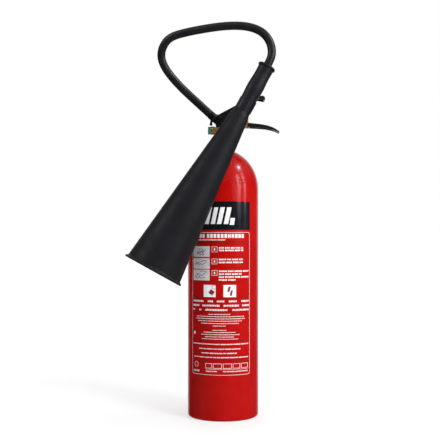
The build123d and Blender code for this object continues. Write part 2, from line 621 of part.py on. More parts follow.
NODES = {
    "cylinder": cylinder,
    "label_panel": lambda: label_film(PANEL_Z),
    "label_band": lambda: label_film(BAND_Z),
    "valve_body": valve_body,
    "dip_tube": dip_tube,
    "neck_seal": neck_seal,
    "gland_nut": gland_nut,
    "gland_ring": gland_ring,
    "spindle": spindle,
    "poppet_seal": poppet_seal,
    "valve_spring": valve_spring,
    "burst_disc": burst_disc,
    "burst_nut": burst_nut,
    "burst_cap": burst_cap,
    "carry_handle": carry_handle,
    "handle_rivets": handle_rivets,
    "squeeze_lever": squeeze_lever,
    "lever_pivots": lever_pivots,
    "safety_pin": safety_pin,
    "pull_ring": pull_ring,
    "outlet_nut": outlet_nut,
    "outlet_ferrule": outlet_ferrule,
    "seal_tie": seal_tie,
    "hose": hose,
    "horn_cone": horn_cone,
    "horn_grip": horn_grip,
    "horn_ferrule": horn_ferrule,
    "horn_jet": horn_jet,
    "horn_bracket": horn_bracket,
    "horn_clip": horn_clip,
    "clip_screw": clip_screw,
}

os.makedirs("parts", exist_ok=True)
for name, make in NODES.items():
    export_step(make(), f"parts/{name}.step")
    print(name)
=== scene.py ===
"""Looks of a carbon dioxide fire extinguisher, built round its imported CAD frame.

Metres throughout, in the CAD's frame: +Z up, +X towards the handles, -Y towards the label and the horn.
The label is drawn in millimetres, s along the cylinder's curve from its front line and z upwards.
"""
import math
import random

import bmesh
import bpy
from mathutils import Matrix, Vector

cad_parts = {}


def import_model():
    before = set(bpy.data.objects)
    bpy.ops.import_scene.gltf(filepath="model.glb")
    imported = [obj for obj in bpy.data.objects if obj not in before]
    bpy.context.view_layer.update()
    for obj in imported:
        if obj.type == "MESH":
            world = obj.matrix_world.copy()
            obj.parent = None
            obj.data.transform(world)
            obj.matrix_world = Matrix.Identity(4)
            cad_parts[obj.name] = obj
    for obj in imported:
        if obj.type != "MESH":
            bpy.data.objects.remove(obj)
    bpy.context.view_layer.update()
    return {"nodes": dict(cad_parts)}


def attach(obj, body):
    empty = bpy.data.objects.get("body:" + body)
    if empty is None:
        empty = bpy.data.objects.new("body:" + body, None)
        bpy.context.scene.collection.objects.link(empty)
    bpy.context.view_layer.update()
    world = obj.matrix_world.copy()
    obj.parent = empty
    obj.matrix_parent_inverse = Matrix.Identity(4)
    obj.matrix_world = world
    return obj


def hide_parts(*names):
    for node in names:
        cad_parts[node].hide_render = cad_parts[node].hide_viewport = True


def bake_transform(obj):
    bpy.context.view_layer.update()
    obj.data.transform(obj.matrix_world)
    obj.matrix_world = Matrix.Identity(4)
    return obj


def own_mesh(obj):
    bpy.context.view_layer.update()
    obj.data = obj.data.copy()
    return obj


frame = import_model()
NODES = frame["nodes"]
MM = 0.001

# ---- sizes shared with the CAD ----
BODY_R = 70.0
FILM_R = 70.27
DOME_Z = 446.0
DOME_RISE = 80.0
HOSE_R = 0.008
HOSE_ROUTE = [
    (-24.3, 0, 595.3), (-54, 0, 622.4), (-84, -1.5, 650), (-108.5, -4.5, 677.5),
    (-121, -9, 699.5), (-122, -14, 717.5), (-114.5, -19.5, 734), (-100.5, -26, 745.3),
    (-71, -35, 751.5), (-36, -44.5, 756), (-1, -54, 759), (34, -63, 758),
    (60, -70, 751.5), (79, -75, 739.5), (90.5, -79, 720.5), (93, -82, 700),
    (86.8, -83.5, 682.7), (71.3, -85.7, 654.8),
]
HORN_MOUTH = Vector((-131, -114, 290)) * MM
HORN_TOP = Vector((83.4, -84, 676.6)) * MM
HORN_FRONT = Vector((-0.218, -0.955, 0.196))
MOUTH_R = 55.4
CONE_LENGTH = 334.0
CONE_TOP_R = 18.2
SPRING_R = 4.4
SPRING_WIRE_R = 0.6
SPRING_TURNS = 7
SPRING_Z = (546.65, 558.85)

# ---- fineness of the drawn shapes ----
PRINT_STEP = 2.5
HOSE_SIDES = 40
WIRE_SIDES = 10
STEPS_PER_COIL = 24
MARK_SIDES = 12
SEAM_STEPS = 40


# ------------------------------------------------------------------ materials
def map_range(tree, value, low, high, out_low=0.0, out_high=1.0):
    """value between low and high becomes out_low to out_high, smoothly and clamped."""
    node = tree.nodes.new("ShaderNodeMapRange")
    node.interpolation_type = "SMOOTHSTEP"
    tree.links.new(value, node.inputs["Value"])
    for socket, number in zip(("From Min", "From Max", "To Min", "To Max"), (low, high, out_low, out_high)):
        node.inputs[socket].default_value = number
    return node.outputs[0]


class Shader:
    """A Principled material, with helpers that add the nodes behind its colour, roughness and bump."""

    def __init__(self, name, roughness=0.5, metallic=0.0, specular=0.5, coat=0.0, coat_roughness=0.05):
        self.material = bpy.data.materials.new(name)
        self.material.use_nodes = True
        self.tree = self.material.node_tree
        self.surface = self.tree.nodes["Principled BSDF"]
        self.coords = self.tree.nodes.new("ShaderNodeTexCoord")
        self.surface.inputs["Roughness"].default_value = roughness
        self.surface.inputs["Metallic"].default_value = metallic
        self.surface.inputs["Specular IOR Level"].default_value = specular
        self.surface.inputs["Coat Weight"].default_value = coat
        self.surface.inputs["Coat Roughness"].default_value = coat_roughness

    def link(self, output, node, socket):
        self.tree.links.new(output, node.inputs[socket])

    def noise(self, scale, detail=3.0, stretch=(1, 1, 1), distortion=0.0, uv=False):
        """Noise of that many features per metre; stretch squeezes it along an axis."""
        mapping = self.tree.nodes.new("ShaderNodeMapping")
        mapping.inputs["Scale"].default_value = stretch
        self.link(self.coords.outputs["UV" if uv else "Object"], mapping, "Vector")
        noise = self.tree.nodes.new("ShaderNodeTexNoise")
        noise.inputs["Scale"].default_value = scale
        noise.inputs["Detail"].default_value = detail
        noise.inputs["Distortion"].default_value = distortion
        self.link(mapping.outputs[0], noise, "Vector")
        return noise.outputs["Fac"]

    def ranged(self, value, low, high, out_low=0.0, out_high=1.0):
        return map_range(self.tree, value, low, high, out_low, out_high)

    def maths(self, operation, a, b):
        node = self.tree.nodes.new("ShaderNodeMath")
        node.operation = operation
        for index, value in enumerate((a, b)):
            if isinstance(value, (int, float)):
                node.inputs[index].default_value = value
            else:
                self.tree.links.new(value, node.inputs[index])
        return node.outputs[0]

    def mixed(self, factor, first, second):
        """The colour first where factor is 0, second where it is 1."""
        node = self.tree.nodes.new("ShaderNodeMix")
        node.data_type = "RGBA"
        self.tree.links.new(factor, node.inputs[0])
        for index, value in ((6, first), (7, second)):
            if isinstance(value, tuple):
                node.inputs[index].default_value = (*value, 1)
            else:
                self.tree.links.new(value, node.inputs[index])
        return node.outputs[2]

    def height(self):
        node = self.tree.nodes.new("ShaderNodeSeparateXYZ")
        self.link(self.coords.outputs["Object"], node, "Vector")
        return node.outputs["Z"]

    def edges(self, radius):
        """The rounded normal, and how far it turns from the flat one: 0 on a face, up to 1 on an edge."""
        rounded = self.tree.nodes.new("ShaderNodeBevel")
        rounded.samples = 4
        rounded.inputs["Radius"].default_value = radius
        flat = self.tree.nodes.new("ShaderNodeNewGeometry")
        dot = self.tree.nodes.new("ShaderNodeVectorMath")
        dot.operation = "DOT_PRODUCT"
        self.tree.links.new(rounded.outputs[0], dot.inputs[0])
        self.tree.links.new(flat.outputs["Normal"], dot.inputs[1])
        return rounded.outputs[0], self.ranged(dot.outputs["Value"], 0.995, 0.90)

    def bump(self, height, distance, normal=None):
        node = self.tree.nodes.new("ShaderNodeBump")
        node.inputs["Distance"].default_value = distance
        node.inputs["Strength"].default_value = 1.0
        self.link(height, node, "Height")
        if normal is not None:
            self.link(normal, node, "Normal")
        return node.outputs[0]

    def finish(self, colour, roughness, normal=None, coat_normal=None):
        for output, socket in ((colour, "Base Color"), (roughness, "Roughness"), (normal, "Normal"),
                               (coat_normal, "Coat Normal")):
            if output is not None:
                self.link(output, self.surface, socket)
        return self.material


def painted_red():
    """Glossy powder coat over steel: a little orange peel, faint clouds, and a few scuffs on the foot."""
    s = Shader("red_powder_coat", specular=0.3, coat=0.25, coat_roughness=0.06)
    clouds = s.ranged(s.noise(14, 4), 0.35, 0.68)
    base = s.mixed(clouds, (0.400, 0.0020, 0.0014), (0.430, 0.0026, 0.0018))
    low = s.ranged(s.height(), 0.014, 0.001)
    marks = s.maths("MULTIPLY", low, s.ranged(s.noise(170, 5, (1, 1, 0.5)), 0.56, 0.70, 0, 0.7))
    base = s.mixed(marks, base, (0.16, 0.008, 0.006))
    chips = s.maths("MULTIPLY", s.ranged(s.height(), 0.0030, 0.0004), s.ranged(s.noise(380, 3), 0.60, 0.64))
    base = s.mixed(chips, base, (0.14, 0.13, 0.13))
    rough = s.maths("ADD", s.ranged(s.noise(55, 5), 0.3, 0.7, 0.17, 0.25), s.maths("MULTIPLY", marks, 0.25))
    peel = s.bump(s.noise(330, 2), 0.00006)
    return s.finish(base, rough, peel, peel)


def glossy_film(name, low, high, roughness=0.14, coat=0.3):
    """Printed vinyl: nearly flat colour, a soft waviness from the glue, and hairline rubs."""
    s = Shader(name, specular=0.4, coat=coat, coat_roughness=0.06)
    tone = s.mixed(s.ranged(s.noise(22, 3), 0.35, 0.65), low, high)
    rubs = s.ranged(s.noise(700, 2, (0.12, 0.12, 1)), 0.66, 0.72)
    rough = s.maths("ADD", s.ranged(s.noise(70, 4), 0.3, 0.7, roughness, roughness + 0.05),
                    s.maths("MULTIPLY", rubs, 0.06))
    wavy = s.bump(s.noise(60, 2), 0.00006)
    return s.finish(tone, rough, wavy, wavy)


def ink(name, low, high):
    """Screen-printed ink: matt beside the film, a touch uneven in tone."""
    s = Shader(name, specular=0.4)
    tone = s.mixed(s.ranged(s.noise(160, 3), 0.35, 0.65), low, high)
    rough = s.ranged(s.noise(300, 2), 0.3, 0.7, 0.32, 0.44)
    return s.finish(tone, rough, s.bump(s.noise(1500, 2), 0.00001))


def moulded(name, low, high, roughness, grain, specular=0.4, scuffs=0.35):
    """Moulded black plastic: fine grain, slightly cloudy tone, and pale rubs on its edges."""
    s = Shader(name, specular=specular)
    normal, edge = s.edges(0.0007)
    tone = s.mixed(s.ranged(s.noise(30, 4), 0.35, 0.68), low, high)
    rubbed = s.maths("MULTIPLY", edge, s.ranged(s.noise(240, 4), 0.38, 0.62))
    streaks = s.ranged(s.noise(140, 5, (1, 1, 0.15), 0.6), 0.64, 0.76)
    wear = s.maths("MULTIPLY", s.maths("MAXIMUM", rubbed, s.maths("MULTIPLY", streaks, 0.4)), scuffs)
    tone = s.mixed(wear, tone, (0.045, 0.045, 0.05))
    rough = s.maths("SUBTRACT", s.ranged(s.noise(45, 4), 0.3, 0.7, roughness - 0.05, roughness + 0.07),
                    s.maths("MULTIPLY", wear, 0.15))
    fine = s.bump(s.noise(grain, 2), 0.000025, normal=normal)
    soft = s.bump(s.noise(40, 2), 0.00020, normal=fine)
    return s.finish(tone, rough, soft)


def hose_rubber():
    """Smooth extruded rubber: satin, with faint draw lines along it and slightly cloudy."""
    s = Shader("hose_rubber", specular=0.5)
    lines = s.noise(1400, 2, (1, 0.02, 1), uv=True)
    tone = s.mixed(s.ranged(s.noise(38, 4), 0.36, 0.66), (0.0088, 0.0086, 0.0108), (0.0125, 0.0122, 0.0150))
    rough = s.maths("ADD", s.ranged(s.noise(26, 5), 0.3, 0.7, 0.30, 0.38), s.maths("MULTIPLY", lines, 0.04))
    drawn = s.bump(lines, 0.00001)
    return s.finish(tone, rough, s.bump(s.noise(45, 3), 0.00010, normal=drawn))


def black_metal(name):
    """Black powder coat on pressed steel: fine pebble, and bare metal where hands rub the edges."""
    s = Shader(name, specular=0.35)
    normal, edge = s.edges(0.0006)
    tone = s.mixed(s.ranged(s.noise(50, 4), 0.35, 0.65), (0.0050, 0.0050, 0.0060), (0.0085, 0.0085, 0.0095))
    bare = s.maths("MULTIPLY", edge, s.ranged(s.noise(310, 5), 0.58, 0.70, 0, 0.6))
    tone = s.mixed(bare, tone, (0.12, 0.12, 0.125))
    rough = s.ranged(s.noise(80, 4), 0.3, 0.7, 0.34, 0.48)
    pebble = s.bump(s.noise(1100, 2), 0.00004, normal=normal)
    s.link(s.maths("MULTIPLY", bare, 0.8), s.surface, "Metallic")
    return s.finish(tone, rough, pebble)


def brass(name, low, high, roughness, cast, metallic):
    """Brass: cast skin or turned face, dulled in patches and bright along its edges."""
    s = Shader(name, metallic=metallic)
    normal, edge = s.edges(0.0005)
    patches = s.ranged(s.noise(85, 5), 0.36, 0.66)
    tone = s.mixed(patches, low, high)
    tone = s.mixed(s.maths("MULTIPLY", edge, 0.6), tone, (0.90, 0.72, 0.42))
    rough = s.ranged(s.noise(140, 4), 0.3, 0.7, roughness - 0.08, roughness + 0.1)
    grain = s.bump(s.noise(900 if cast else 2200, 3, (1, 1, 1 if cast else 0.1)),
                   0.00012 if cast else 0.00002, normal=normal)
    return s.finish(tone, rough, grain)


def plated(name, low, high, roughness):
    """Plated steel: pale passivated zinc or bright chrome with faint clouding."""
    s = Shader(name, metallic=1.0)
    normal, edge = s.edges(0.0004)
    tone = s.mixed(s.ranged(s.noise(260, 4), 0.35, 0.65), low, high)
    tone = s.mixed(s.maths("MULTIPLY", edge, 0.4), tone, (0.75, 0.75, 0.76))
    rough = s.ranged(s.noise(420, 4), 0.3, 0.7, roughness - 0.05, roughness + 0.09)
    return s.finish(tone, rough, s.bump(s.noise(1600, 3), 0.00002, normal=normal))


def plastic(name, low, high, roughness):
    """Small glossy mouldings."""
    s = Shader(name, specular=0.5)
    normal, edge = s.edges(0.0004)
    tone = s.mixed(s.ranged(s.noise(180, 3), 0.35, 0.65), low, high)
    tone = s.mixed(s.maths("MULTIPLY", edge, 0.25), tone, tuple(min(1, c * 1.8 + 0.02) for c in high))
    rough = s.ranged(s.noise(260, 3), 0.3, 0.7, roughness - 0.04, roughness + 0.08)
    return s.finish(tone, rough, s.bump(s.noise(700, 2), 0.00004, normal=normal))


RED = painted_red()
FILM_RED = glossy_film("label_red_film", (0.400, 0.0021, 0.0015), (0.425, 0.0026, 0.0019))
FILM_BLACK = glossy_film("label_black_film", (0.0050, 0.0054, 0.0090), (0.0066, 0.0070, 0.0115), 0.14, 0.6)
INK_WHITE = ink("print_white", (0.80, 0.78, 0.80), (0.88, 0.86, 0.88))
INK_PALE = ink("print_pale_grey", (0.56, 0.57, 0.60), (0.64, 0.65, 0.68))
INK_RED = ink("print_dark_red", (0.17, 0.010, 0.018), (0.24, 0.013, 0.022))
INK_LINE = ink("print_divider", (0.09, 0.002, 0.002), (0.13, 0.003, 0.003))
HORN_BLACK = moulded("horn_moulding", (0.0072, 0.0072, 0.0096), (0.0092, 0.0092, 0.0120), 0.50, 1500, 0.3)
GRIP_BLACK = moulded("grip_moulding", (0.0082, 0.0080, 0.0108), (0.0106, 0.0103, 0.0136), 0.40, 900, 0.4)
HOSE_BLACK = hose_rubber()
HANDLE_BLACK = black_metal("handle_powder_coat")
CAST_BRASS = brass("cast_brass", (0.62, 0.40, 0.15), (0.80, 0.56, 0.24), 0.40, True, 0.70)
TURNED_BRASS = brass("turned_brass", (0.74, 0.50, 0.19), (0.90, 0.66, 0.30), 0.30, False, 0.78)
ZINC = plated("zinc_plate", (0.50, 0.50, 0.52), (0.64, 0.64, 0.65), 0.30)
CHROME = plated("bright_steel", (0.66, 0.66, 0.68), (0.76, 0.76, 0.78), 0.16)
SEAL_RUBBER = moulded("seal_rubber", (0.012, 0.012, 0.013), (0.02, 0.02, 0.021), 0.6, 1200)
TEAL = plastic("teal_cap", (0.030, 0.22, 0.24), (0.045, 0.30, 0.32), 0.3)
TIE_BLACK = plastic("tie_plastic", (0.012, 0.012, 0.013), (0.02, 0.02, 0.022), 0.28)
TUBE_PLASTIC = plastic("tube_plastic", (0.62, 0.62, 0.58), (0.72, 0.72, 0.68), 0.4)

NODE_MATERIALS = {
    "cylinder": RED, "label_panel": FILM_RED, "label_band": FILM_BLACK, "valve_body": CAST_BRASS,
    "dip_tube": TUBE_PLASTIC, "neck_seal": SEAL_RUBBER, "gland_nut": TURNED_BRASS,
    "gland_ring": SEAL_RUBBER, "spindle": CHROME, "poppet_seal": SEAL_RUBBER, "valve_spring": CHROME,
    "burst_disc": TURNED_BRASS, "burst_nut": TURNED_BRASS, "burst_cap": TEAL,
    "carry_handle": HANDLE_BLACK, "handle_rivets": ZINC, "squeeze_lever": HANDLE_BLACK,
    "lever_pivots": HANDLE_BLACK, "safety_pin": ZINC, "pull_ring": ZINC, "outlet_nut": HANDLE_BLACK,
    "outlet_ferrule": HANDLE_BLACK, "seal_tie": TIE_BLACK, "hose": HOSE_BLACK, "horn_cone": HORN_BLACK,
    "horn_grip": GRIP_BLACK, "horn_ferrule": ZINC, "horn_jet": TURNED_BRASS,
    "horn_bracket": HANDLE_BLACK, "horn_clip": HANDLE_BLACK, "clip_screw": ZINC,
}
for node, material in NODE_MATERIALS.items():
    NODES[node].data.materials.clear()
    NODES[node].data.materials.append(material)


# ------------------------------------------------------------------ helpers for pieces
def piece(name, mesh_source, material, body, smooth=True):
    """Turns a bmesh into an object, which rides on body unless that is None."""
    mesh = bpy.data.meshes.new(name)
    bmesh.ops.recalc_face_normals(mesh_source, faces=mesh_source.faces)
    mesh_source.to_mesh(mesh)
    mesh_source.free()
    mesh.materials.append(material)
    for polygon in mesh.polygons:
        polygon.use_smooth = smooth
    obj = bpy.data.objects.new(name, mesh)
    bpy.context.scene.collection.objects.link(obj)
    if body:
        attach(obj, body)
    return obj


class Print:
    """Ink on the label: thin closed shapes, drawn in (s, z) millimetres and wrapped round the cylinder."""

    def __init__(self, name, material, slot, level=0):
        self.name, self.material, self.slot = name, material, slot
        self.inner = FILM_R + 0.01 + 0.05 * level
        self.outer = self.inner + 0.04
        self.mesh = bmesh.new()

    def wrap(self, s, z, r):
        angle = s / BODY_R
        return self.mesh.verts.new((r * math.sin(angle) * MM, -r * math.cos(angle) * MM, z * MM))

    def quad(self, a, b, c, d):
        """A four-sided shape: a to b along its foot, and d to c along its top, cut into short steps."""
        columns = max(1, math.ceil(max(abs(b[0] - a[0]), abs(c[0] - d[0])) / PRINT_STEP))
        rows = max(1, math.ceil(max(abs(d[0] - a[0]), abs(c[0] - b[0])) / PRINT_STEP))
        sides = []
        for radius in (self.inner, self.outer):
            grid = []
            for row in range(rows + 1):
                t = row / rows
                left = [p + (q - p) * t for p, q in zip(a, d)]
                right = [p + (q - p) * t for p, q in zip(b, c)]
                grid.append([self.wrap(*(p + (q - p) * column / columns for p, q in zip(left, right)), radius)
                             for column in range(columns + 1)])
            for below, above in zip(grid, grid[1:]):
                for i in range(columns):
                    self.mesh.faces.new((below[i], below[i + 1], above[i + 1], above[i]))
            sides.append(grid[0] + [row[-1] for row in grid[1:-1]] + grid[-1][::-1]
                         + [row[0] for row in grid[-2:0:-1]])
        inner, outer = sides
        for i in range(len(inner)):
            k = (i + 1) % len(inner)
            self.mesh.faces.new((inner[i], inner[k], outer[k], outer[i]))

    def bar(self, s0, s1, z0, z1, lean=0.0):
        """A bar between two edges and two heights; lean pushes its top to the right."""
        self.quad((s0, z0), (s1, z0), (s1 + lean, z1), (s0 + lean, z1))

    def line(self, points, width):
        """A band along these points, mitred at its corners."""
        lefts, rights = [], []
        for i, (s, z) in enumerate(points):
            before = points[i - 1] if i else None
            after = points[i + 1] if i + 1 < len(points) else None
            runs = [Vector((q[0] - p[0], q[1] - p[1])).normalized()
                    for p, q in ((before, (s, z)), ((s, z), after)) if p and q]
            along = sum(runs, Vector((0, 0))).normalized()
            reach = width / 2 / max(0.4, along.dot(runs[0]))
            lefts.append((s - along.y * reach, z + along.x * reach))
            rights.append((s + along.y * reach, z - along.x * reach))
        for i in range(len(points) - 1):
            self.quad(rights[i], rights[i + 1], lefts[i + 1], lefts[i])

    def frame(self, s0, s1, z0, z1, width, corner=0.0):
        """An outlined box, with rounded corners if corner is above 0."""
        points = []
        for cs, cz, start in ((s1 - corner, z1 - corner, 0), (s0 + corner, z1 - corner, 90),
                              (s0 + corner, z0 + corner, 180), (s1 - corner, z0 + corner, 270)):
            for step in range(5 if corner else 1):
                a = math.radians(start + 22.5 * step)
                points.append((cs + corner * math.cos(a), cz + corner * math.sin(a)))
        middle = ((points[0][0] + points[-1][0]) / 2, (points[0][1] + points[-1][1]) / 2)
        self.line([middle] + points + [middle], width)

    def disc_line(self, s, z, radius, width):
        self.line([(s + radius * math.cos(math.radians(a)), z + radius * math.sin(math.radians(a)))
                   for a in range(0, 361, 24)], width)

    def word(self, s0, s1, z, height, draw):
        """A run of plain upright blocks between s0 and s1, where the real label has a word."""
        gap = 0.26 * height
        count = max(1, round((s1 - s0) / (0.88 * height)))
        width = (s1 - s0 + gap) / count
        for i in range(count):
            left = s0 + i * width
            right = left + width - gap
            style = draw.random()
            low, high = z - height / 2, z + height / 2
            if style < 0.55 or height < 3:
                self.bar(left, right, low + draw.choice((0, 0.12, 0)) * height, high)
            else:
                stem = (right - left) * 0.38
                self.bar(left, left + stem, low, high)
                self.bar(right - stem, right, low, high)
                self.bar(left + stem, right - stem, z - height * 0.12, z + height * 0.16)

    def row(self, s0, s1, z, height, draw, longest=9):
        """A line of words between s0 and s1."""
        at = s0
        while at < s1 - height:
            end = min(s1, at + height * draw.uniform(2.2, longest))
            if s1 - end < 1.6 * height:
                end = s1
            self.word(at, end, z, height, draw)
            at = end + 0.75 * height

    def done(self):
        piece(self.name, self.mesh, self.material, "cylinder", smooth=False)


# ------------------------------------------------------------------ label print
def label():
    """Plain shapes that keep the layout and the weight of the print, with no words or signs in them."""
    draw = random.Random(7)
    white = Print("label_print_white", INK_WHITE, "label_red")
    pale = Print("label_print_panels", INK_PALE, "label_red")
    dark = Print("label_print_strokes", INK_RED, "label_red", level=1)
    rules = Print("label_print_rules", INK_LINE, "label_red")
    band = Print("label_print_band", INK_WHITE, "label_black")

    for left, right in ((-33.5, -25.0), (-20.5, -12.5), (-8.5, 0.0), (4.5, 13.0)):
        band.bar(left - 3.4, right - 3.4, 378.0, 410.0, lean=6.8)
    band.bar(12.5, 21.0, 376.5, 389.5, lean=2.0)

    white.frame(-69.8, 56.6, 89.6, 362.0, 0.65, corner=4.0)
    white.word(-62.0, -37.0, 355.2, 7.4, draw)
    white.word(-32.0, 42.0, 355.2, 7.4, draw)
    white.row(-62.0, 4.0, 347.6, 2.3, draw)
    for z in (342.7, 234.8, 210.0, 154.6, 116.3):
        rules.bar(-69.2, 56.0, z - 0.6, z + 0.6)

    steps = (
        (325.2, ((332.4, 40.0), (327.6, 40.5))),
        (302.2, ((310.2, 39.0), (304.6, 39.5))),
        (280.2, ((287.9, 53.5), (282.3, 36.5), (276.7, 53.5), (271.2, 24.0))),
    )
    for z, rows in steps:
        pale.bar(-66.4, -26.4, z - 10.2, z + 10.2)
        white.frame(-21.8, -11.4, z - 0.5, z + 9.3, 0.6)
        white.bar(-17.8, -15.4, z + 2.0, z + 6.6)
        for row_z, end in rows:
            white.row(-8.0, end, row_z, 2.9, draw, longest=6)
    for points in (
        [(-57, 319), (-50, 326), (-41, 324), (-34, 330)],
        [(-55, 325), (-47, 319), (-37, 321)],
        [(-52, 329), (-45, 331), (-38, 327)],
        [(-50, 321), (-43, 327), (-40, 318)],
        [(-62, 300), (-52, 304), (-43, 300), (-33, 305)],
        [(-60, 305), (-49, 299)],
        [(-46, 305), (-40, 308), (-32, 308)],
        [(-60, 275), (-52, 283), (-43, 279), (-35, 285)],
        [(-57, 284), (-47, 274), (-36, 276)],
        [(-48, 287), (-40, 288), (-32, 286)],
        [(-61, 280), (-56, 273), (-50, 276)],
    ):
        dark.line(points, 1.1)

    for left in (-39.0, 0.6):
        white.bar(left, left + 24.6, 238.4, 261.6)
    dark.quad((-29.0, 246.5), (-21.0, 241.5), (-16.0, 248.5), (-24.0, 253.5))
    dark.frame(-21.5, -13.5, 254.0, 261.0, 0.7)
    dark.bar(7.5, 12.0, 248.5, 258.5, lean=3.0)
    dark.bar(12.5, 16.5, 241.0, 251.5, lean=2.5)

    notices = (
        (230.3, ((-66, -40), (-30, -20), (-12, 2), (11, 26.5), (36.5, 54))),
        (222.0, ((-67, -50), (-42, -7), (1, 31), (38.5, 54))),
        (213.8, ((-67, -62), (-50, -45), (-35, 8), (18, 54))),
    )
    for z, spans in notices:
        for left, right in spans:
            white.word(left, right, z, 3.5, draw)
    paragraphs = (
        (205.5, -28.5, 14.0), (201.2, -55.5, 42.5), (196.9, -58.0, 44.5), (192.6, -52.5, 37.5),
        (188.0, -44.5, 31.0), (183.3, -20.0, 5.0), (175.2, -20.5, 6.0), (171.0, -39.0, 23.5),
        (166.7, -44.5, 32.0), (162.4, -36.0, 20.5), (158.2, -43.5, 29.5),
    )
    for z, left, right in paragraphs:
        white.row(left, right, z, 1.25, draw)
    white.bar(-64.5, -60.5, 166.0, 171.5)
    for z, left, right in ((148.3, -66, 52.5), (139.2, -50, 34), (131.0, -43.5, 26.5), (123.0, -64.5, 52.5)):
        white.row(left, right, z, 1.9, draw)

    white.disc_line(-57.0, 108.8, 4.8, 0.7)
    white.word(-65.0, -50.0, 96.0, 3.0, draw)
    for left, right in ((-35, -22), (-19, -3), (0, 16), (19, 33), (36, 51)):
        white.frame(left, right, 102.6, 111.2, 0.7)
    white.bar(-35.0, 51.0, 100.2, 100.7)
    white.row(-34.0, -12.0, 96.4, 1.8, draw)
    white.row(0.0, 51.0, 96.4, 1.8, draw)
    for sheet in (white, pale, dark, rules, band):
        sheet.done()


# ------------------------------------------------------------------ marks pressed into the dome
def dome_marks():
    """Short pressed marks in two rows on the dome, painted over, where test data would be struck."""
    mesh = bmesh.new()
    draw = random.Random(3)
    half_h = 1.7
    rows = ((463.0, -14, 44), (457.0, -14, 40), (463.0, 120, 170))
    profile = ((-0.10, 1.15), (0.10, 1.0), (0.24, 0.72), (0.28, 0.3))
    for z, start, end in rows:
        angle = start
        while angle < end:
            theta = math.radians(angle)
            rise = (z - DOME_Z) / DOME_RISE
            radius = BODY_R * math.sqrt(1 - rise * rise)
            out = Vector((math.sin(theta), -math.cos(theta), 0))
            normal = (out * radius / BODY_R ** 2 + Vector((0, 0, (z - DOME_Z) / DOME_RISE ** 2))).normalized()
            side = Vector((math.cos(theta), math.sin(theta), 0))
            up = normal.cross(side)
            centre = out * radius + Vector((0, 0, z))
            half_w = draw.uniform(0.7, 1.1)
            rings = []
            for lift, shrink in profile:
                ring = []
                for step in range(MARK_SIDES):
                    a = 2 * math.pi * step / MARK_SIDES
                    p = centre + side * half_w * shrink * math.cos(a) + up * half_h * shrink * math.sin(a)
                    ring.append(mesh.verts.new((p + normal * lift) * MM))
                rings.append(ring)
            for one, two in zip(rings, rings[1:]):
                for i in range(MARK_SIDES):
                    k = (i + 1) % MARK_SIDES
                    mesh.faces.new((one[i], one[k], two[k], two[i]))
            mesh.faces.new(rings[0][::-1])
            mesh.faces.new(rings[-1])
            angle += draw.choice((3.0, 3.0, 3.2, 5.2))
    piece("dome_marks", mesh, RED, "cylinder")


# ------------------------------------------------------------------ hose
def spline_points(route):
    """Points along the smooth line that has the route as its control points."""
    curve = bpy.data.curves.new("hose_route", "CURVE")
    curve.dimensions = "3D"
    curve.resolution_u = 12
    spline = curve.splines.new("NURBS")
    spline.points.add(len(route) - 1)
    for point, place in zip(spline.points, route):
        point.co = (*(value * MM for value in place), 1)
    spline.order_u = 3
    spline.use_endpoint_u = True
    holder = bpy.data.objects.new("hose_route", curve)
    line = bpy.data.meshes.new_from_object(holder)
    points = [vertex.co.copy() for vertex in line.vertices]
    bpy.data.objects.remove(holder)
    bpy.data.curves.remove(curve)
    bpy.data.meshes.remove(line)
    return points


def tube(name, points, radius, sides, material):
    """A closed tube along points, with its UVs in metres: round it and along it."""
    mesh = bmesh.new()
    layer = mesh.loops.layers.uv.new("UVMap")
    heading = (points[1] - points[0]).normalized()
    side = heading.cross(Vector((0, 1, 0))).normalized()
    rings, distances, run = [], [], 0.0
    for i, point in enumerate(points):
        ahead = points[min(i + 1, len(points) - 1)] - points[max(i - 1, 0)]
        turn = heading.rotation_difference(ahead.normalized())
        side.rotate(turn)
        heading = ahead.normalized()
        across = heading.cross(side).normalized()
        run += (point - points[i - 1]).length if i else 0.0
        distances.append(run)
        rings.append([mesh.verts.new(point + radius * (side * math.cos(a) + across * math.sin(a)))
                      for a in (2 * math.pi * step / sides for step in range(sides))])
    for i in range(len(rings) - 1):
        for j in range(sides):
            k = (j + 1) % sides
            face = mesh.faces.new((rings[i][j], rings[i][k], rings[i + 1][k], rings[i + 1][j]))
            corners = ((j, i), (j + 1, i), (j + 1, i + 1), (j, i + 1))
            for loop, (around, along) in zip(face.loops, corners):
                loop[layer].uv = (2 * math.pi * radius * around / sides, distances[along])
    for ring in (rings[0][::-1], rings[-1]):
        mesh.faces.new(ring)
    return piece(name, mesh, material, None)


def hose():
    points = spline_points(HOSE_ROUTE)
    obj = tube("hose_tube", points, HOSE_R, HOSE_SIDES, HOSE_BLACK)
    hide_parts("hose")
    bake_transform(obj)


# ------------------------------------------------------------------ valve spring
def valve_spring():
    """The coil under the poppet, built at its full length."""
    steps = SPRING_TURNS * STEPS_PER_COIL
    points = []
    for step in range(steps + 1):
        angle = 2 * math.pi * step / STEPS_PER_COIL
        share = step / steps
        points.append(Vector((SPRING_R * math.cos(angle), SPRING_R * math.sin(angle),
                              SPRING_Z[0] + (SPRING_Z[1] - SPRING_Z[0]) * share)) * MM)
    obj = tube("valve_spring_coil", points, SPRING_WIRE_R * MM, WIRE_SIDES, CHROME)
    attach(obj, "cylinder")
    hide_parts("valve_spring")
    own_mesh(obj)


